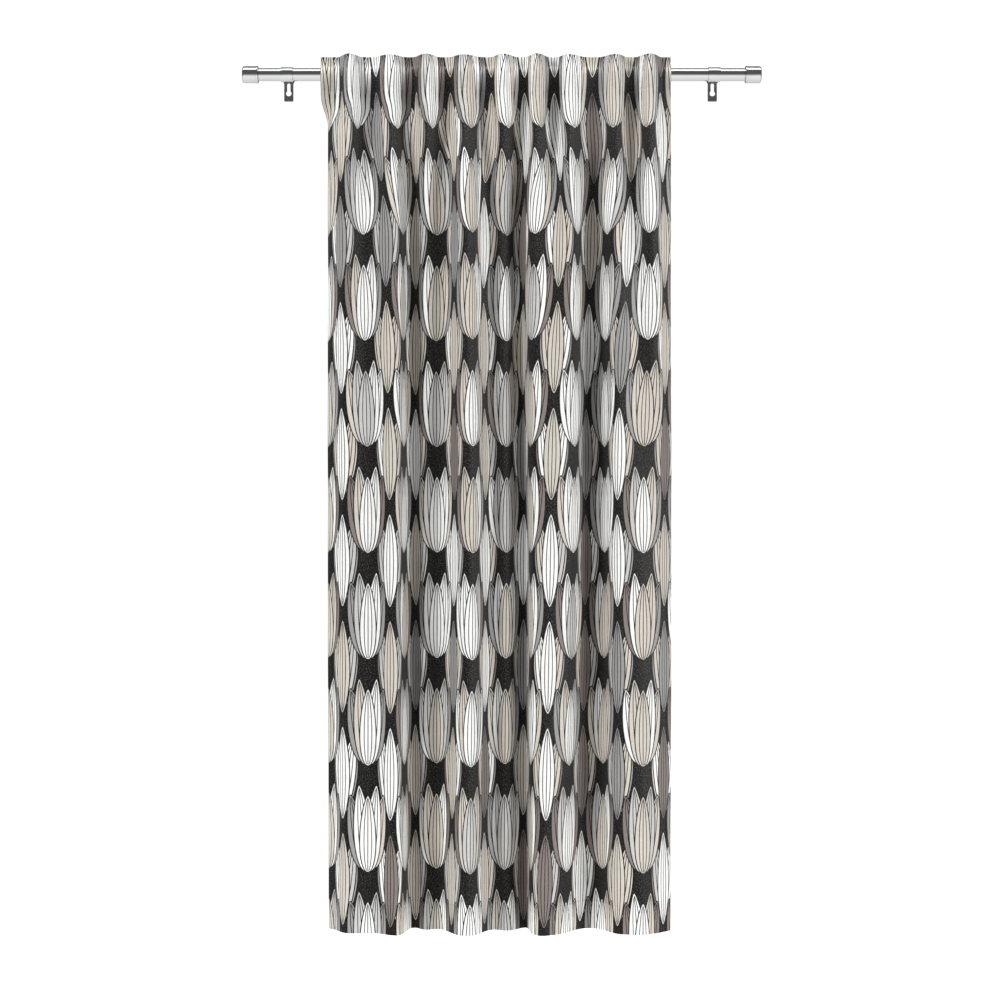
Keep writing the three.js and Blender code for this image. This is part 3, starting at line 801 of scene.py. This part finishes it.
def finish_cloth(tree, shader, colour, height):
    bump = add_node(tree, "ShaderNodeBump", Strength=0.35, Distance=0.0004, Height=height)
    put(tree, shader.inputs["Base Color"], colour)
    put(tree, shader.inputs["Normal"], bump.outputs[0])
    shader.inputs["Roughness"].default_value = 0.7
    shader.inputs["Specular IOR Level"].default_value = 0.2
    shader.inputs["Sheen Weight"].default_value = 0.06
    shader.inputs["Sheen Roughness"].default_value = 0.45


def printed_cloth():
    """The cloth's face: the print a little uneven with the threads and faded in soft patches, with pale
    specks added as painted glints.
    """
    material, tree, shader = new_material("printed cotton")
    u, v = cloth_places(tree)
    height, slubs = weave(tree, u, v)
    fade = noise(tree, u, v, *FADE_SCALE) - 0.5
    factor = slubs * FACE_UNEVEN + fade * FADE_TONE + 1
    colour = scaled_colour(tree, printed_colour(tree, u, v), factor)
    # painted glints: pale grey specks added to the cloth's colour, standing in for glints of light off the
    # threads
    painted_glints = (noise(tree, u, v, GLINT_SCALE, GLINT_SCALE, 1.0) - GLINT_LEVEL).most(0) * GLINT_SHOW
    finish_cloth(tree, shader, add_grey(tree, colour, painted_glints), height)
    return material


def reverse_cloth():
    """The cloth's unprinted back, with the print showing through."""
    material, tree, shader = new_material("cotton reverse")
    u, v = cloth_places(tree)
    height, slubs = weave(tree, u, v)
    through = mix_colour(tree, BARE_SHARE, printed_colour(tree, u, v), BARE_THREAD)
    colour = scaled_colour(tree, through, slubs * BACK_UNEVEN + 1)
    finish_cloth(tree, shader, colour, height)
    return material


def tab_cloth():
    material, tree, shader = new_material("tab cotton")
    u, v = cloth_places(tree)
    height, slubs = weave(tree, u, v)
    colour = scaled_colour(tree, TAB_CLOTH, slubs * TAB_UNEVEN + 1)
    finish_cloth(tree, shader, colour, height)
    return material


def brushed_steel():
    """Polished steel with fine lines along it and faint smudges."""
    material, tree, shader = new_material("satin steel")
    x, y, z = object_places(tree)
    grain = noise(tree, x, y + z, *STEEL_LINES, 3.0)
    smudge = noise(tree, x, y + z, *STEEL_SMUDGES)
    put(tree, shader.inputs["Roughness"], (grain - 0.5) * 0.04 + (smudge - 0.5) * 0.05 + 0.13)
    tint = (grain - 0.5) * 0.05 + 1
    put(tree, shader.inputs["Base Color"], scaled_colour(tree, STEEL, tint))
    shader.inputs["Metallic"].default_value = 1.0
    return material


def bracket_metal():
    """Dull zinc with a fine grain and cloudy patches."""
    material, tree, shader = new_material("dark zinc")
    x, y, z = object_places(tree)
    grain = noise(tree, x, y + z, *ZINC_GRAIN, 3.0)
    cloud = noise(tree, x, y + z, *ZINC_CLOUDS)
    put(tree, shader.inputs["Roughness"], (cloud - 0.5) * 0.2 + 0.48)
    tint = (grain - 0.5) * 0.25 + (cloud - 0.5) * 0.3 + 1
    put(tree, shader.inputs["Base Color"], scaled_colour(tree, ZINC, tint))
    bump = add_node(tree, "ShaderNodeBump", Strength=0.15, Distance=0.0001, Height=grain)
    put(tree, shader.inputs["Normal"], bump.outputs[0])
    shader.inputs["Metallic"].default_value = 0.7
    return material


# ---------------------------------------------------------------- smooth shading on the CAD's hard pieces

CAD_EDGE_ROUNDING = 0.0004
CAD_CORNER = math.radians(32)              # facets that meet at more than this keep a sharp corner


def smooth_group():
    """A node group that shades a mesh smooth, with sharp corners."""
    group = bpy.data.node_groups.new("smooth with corners", "GeometryNodeTree")
    group.interface.new_socket("Geometry", in_out="INPUT", socket_type="NodeSocketGeometry")
    group.interface.new_socket("Geometry", in_out="OUTPUT", socket_type="NodeSocketGeometry")
    start = group.nodes.new("NodeGroupInput")
    end = group.nodes.new("NodeGroupOutput")
    edge = group.nodes.new("GeometryNodeInputMeshEdgeAngle")
    sharp = add_node(group, "FunctionNodeCompare", {"operation": "GREATER_THAN"})
    put(group, sharp.inputs[0], edge.outputs["Unsigned Angle"])
    sharp.inputs[1].default_value = CAD_CORNER
    normal = group.nodes.new("GeometryNodeSetMeshNormal")
    normal.mode = "SHARPNESS"
    put(group, normal.inputs["Edge Sharpness"], sharp.outputs[0])
    group.links.new(start.outputs[0], normal.inputs[0])
    group.links.new(normal.outputs[0], end.inputs[0])
    return group


def soften_shading(node, smooth):
    """Joins a CAD node's facets into smooth faces with sharp corners, and rounds its edges a little.
    Its own mesh isn't changed: all of this is modifiers."""
    weld = node.modifiers.new("weld", "WELD")
    weld.merge_threshold = 0.00001
    rounding = node.modifiers.new("round", "BEVEL")
    rounding.width = CAD_EDGE_ROUNDING
    rounding.segments = 2
    rounding.limit_method = "ANGLE"
    rounding.angle_limit = CAD_CORNER
    shade = node.modifiers.new("shade", "NODES")
    shade.node_group = smooth


def dress(names, material, smooth):
    """Gives CAD nodes their material and their smooth shading."""
    for name in names:
        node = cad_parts[name]
        node.material_slots[0].material = material
        soften_shading(node, smooth)


# ---------------------------------------------------------------- stage, light and camera

FLOOR_Z, FLOOR_RADIUS = -0.30, 2.2
CAMERA_BEFORE_ROD = 6.045
CAMERA_X, CAMERA_Z = -0.005, 1.1815
LENS, SENSOR_WIDTH = 79.0, 36.0

# The studio's walls, by direction. Behind the curtain they light it; in front they are dim.
WALL_DIM, WALL_RISE = 0.13, 0.79
WALL_START, WALL_EDGE = 0.15, 2.2
SEEN_WHITE = 1.05
# The pale ground that polished metal mirrors: where it ends, how sharply, and its brightness, which falls
# towards the back.
MIRRORED_END, MIRRORED_EDGE = -0.25, 2.2
MIRRORED_LEVEL, MIRRORED_FALL = 1.3, 0.28

# Soft boxes in metres and watts: where each stands, what it faces and its width and height.
#    name, place, aim, size, power
OVERHEAD = ("overhead", (0, ROD_Y - 0.25, ROD_Z + 1.9), (0, ROD_Y - 0.25, 0), (5.0, 1.2), 42)
KEY = ("key", (-5.6, -4.7, 5.6), (0, 0, 1.3), (2.0, 4.0), 545)
FILL = ("fill", (5.9, -4.4, 5.6), (0, 0, 1.3), (2.0, 4.0), 485)
# These two give the cloth alone its sheen: along the folds' right-hand sides, and over the heading.
HAZE = ("haze", (1.35, -0.85, 1.3), (0.1, 0, 1.2), (0.5, 2.8), 60)
GLOW = ("glow", (0, ROD_Y - 0.3, ROD_Z + 0.45), (0, ROD_Y, ROD_Z), (3.0, 0.2), 20)


def build_floor():
    material, _, shader = new_material("pale floor")
    shader.inputs["Base Color"].default_value = linear(240, 240, 239)
    shader.inputs["Roughness"].default_value = 0.9
    shader.inputs["Emission Color"].default_value = (1, 1, 1, 1)
    shader.inputs["Emission Strength"].default_value = 0.32
    bpy.ops.mesh.primitive_circle_add(
        vertices=96, radius=FLOOR_RADIUS, fill_type="NGON", location=(0, 0, FLOOR_Z),
    )
    floor = bpy.context.object
    floor.name = "floor"
    floor.data.materials.append(material)
    floor.visible_glossy = False


def build_world():
    """A white room behind the curtain and a dim one in front of it; polished metal mirrors a dim room over
    a pale ground. White where the camera looks."""
    world = bpy.data.worlds.new("studio")
    bpy.context.scene.world = world
    world.use_nodes = True
    tree = world.node_tree
    tree.nodes.clear()
    place = add_node(tree, "ShaderNodeTexCoord")
    parts = add_node(tree, "ShaderNodeSeparateXYZ", Vector=place.outputs["Generated"])
    behind, up = Number(tree, parts.outputs[1]), Number(tree, parts.outputs[2])
    ray = tree.nodes.new("ShaderNodeLightPath")
    diffuse = Number(tree, ray.outputs["Is Diffuse Ray"])
    pale = ((MIRRORED_END - up) * MIRRORED_EDGE + 0.5).clamped() * (MIRRORED_LEVEL - behind * MIRRORED_FALL)
    back = ((behind + WALL_START) * WALL_EDGE).clamped()
    level = (back * diffuse + pale * (1 - diffuse)) * WALL_RISE + WALL_DIM
    room = add_node(tree, "ShaderNodeBackground", Color=(1, 1, 1, 1), Strength=level)
    seen = add_node(tree, "ShaderNodeBackground", Color=(1, 1, 1, 1), Strength=SEEN_WHITE)
    chosen = tree.nodes.new("ShaderNodeMixShader")
    put(tree, chosen.inputs[0], ray.outputs["Is Camera Ray"])
    put(tree, chosen.inputs[1], room.outputs[0])
    put(tree, chosen.inputs[2], seen.outputs[0])
    output = tree.nodes.new("ShaderNodeOutputWorld")
    put(tree, output.inputs[0], chosen.outputs[0])


def add_light(name, place, aim, size, power):
    data = bpy.data.lights.new(name, "AREA")
    data.shape = "RECTANGLE"
    data.size, data.size_y = size
    data.energy = power
    light = bpy.data.objects.new(name, data)
    bpy.context.scene.collection.objects.link(light)
    light.location = place
    direction = Vector(aim) - Vector(place)
    light.rotation_euler = direction.to_track_quat("-Z", "Y").to_euler()
    light.visible_camera = False
    return light


def build_lights():
    add_light(*OVERHEAD)
    for row in KEY, FILL:
        add_light(*row).visible_glossy = False


def build_sheen_lights(piece):
    """Lights that fall on one piece alone, and show only as its sheen."""
    for row in HAZE, GLOW:
        light = add_light(*row)
        light.visible_diffuse = False
        chosen = bpy.data.collections.new(f"lit by {light.name}")
        chosen.objects.link(piece)
        light.light_linking.receiver_collection = chosen


def build_camera():
    data = bpy.data.cameras.new("camera")
    data.lens = LENS
    data.sensor_width = SENSOR_WIDTH
    camera = bpy.data.objects.new("camera", data)
    bpy.context.scene.collection.objects.link(camera)
    camera.location = (CAMERA_X, ROD_Y - CAMERA_BEFORE_ROD, CAMERA_Z)
    camera.rotation_euler = (math.pi / 2, 0, 0)
    bpy.context.scene.camera = camera


# ---------------------------------------------------------------- the whole

build_camera()
build_world()
build_lights()
build_floor()

smooth = smooth_group()
dress(["rod", "end_cap_left", "end_cap_right", "saddle_left", "saddle_right"], brushed_steel(), smooth)
dress(["wall_plate_left", "wall_plate_right"], bracket_metal(), smooth)

panel = build_panel(printed_cloth(), reverse_cloth())
build_sheen_lights(panel)
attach(panel, "root")
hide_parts("curtain_panel")

tab_material = tab_cloth()
tab_places = cloth_surface(TAB_MARGIN + TAB_PITCH * np.arange(TAB_COUNT), [ROD_HEIGHT])[0, :, 0]
for number, x in enumerate(tab_places, 1):
    strip, length = build_tab(number, x, tab_material)
    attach(strip, "root")
    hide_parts(f"tab_{number:02d}")

bpy.context.scene.view_settings.view_transform = "Standard"
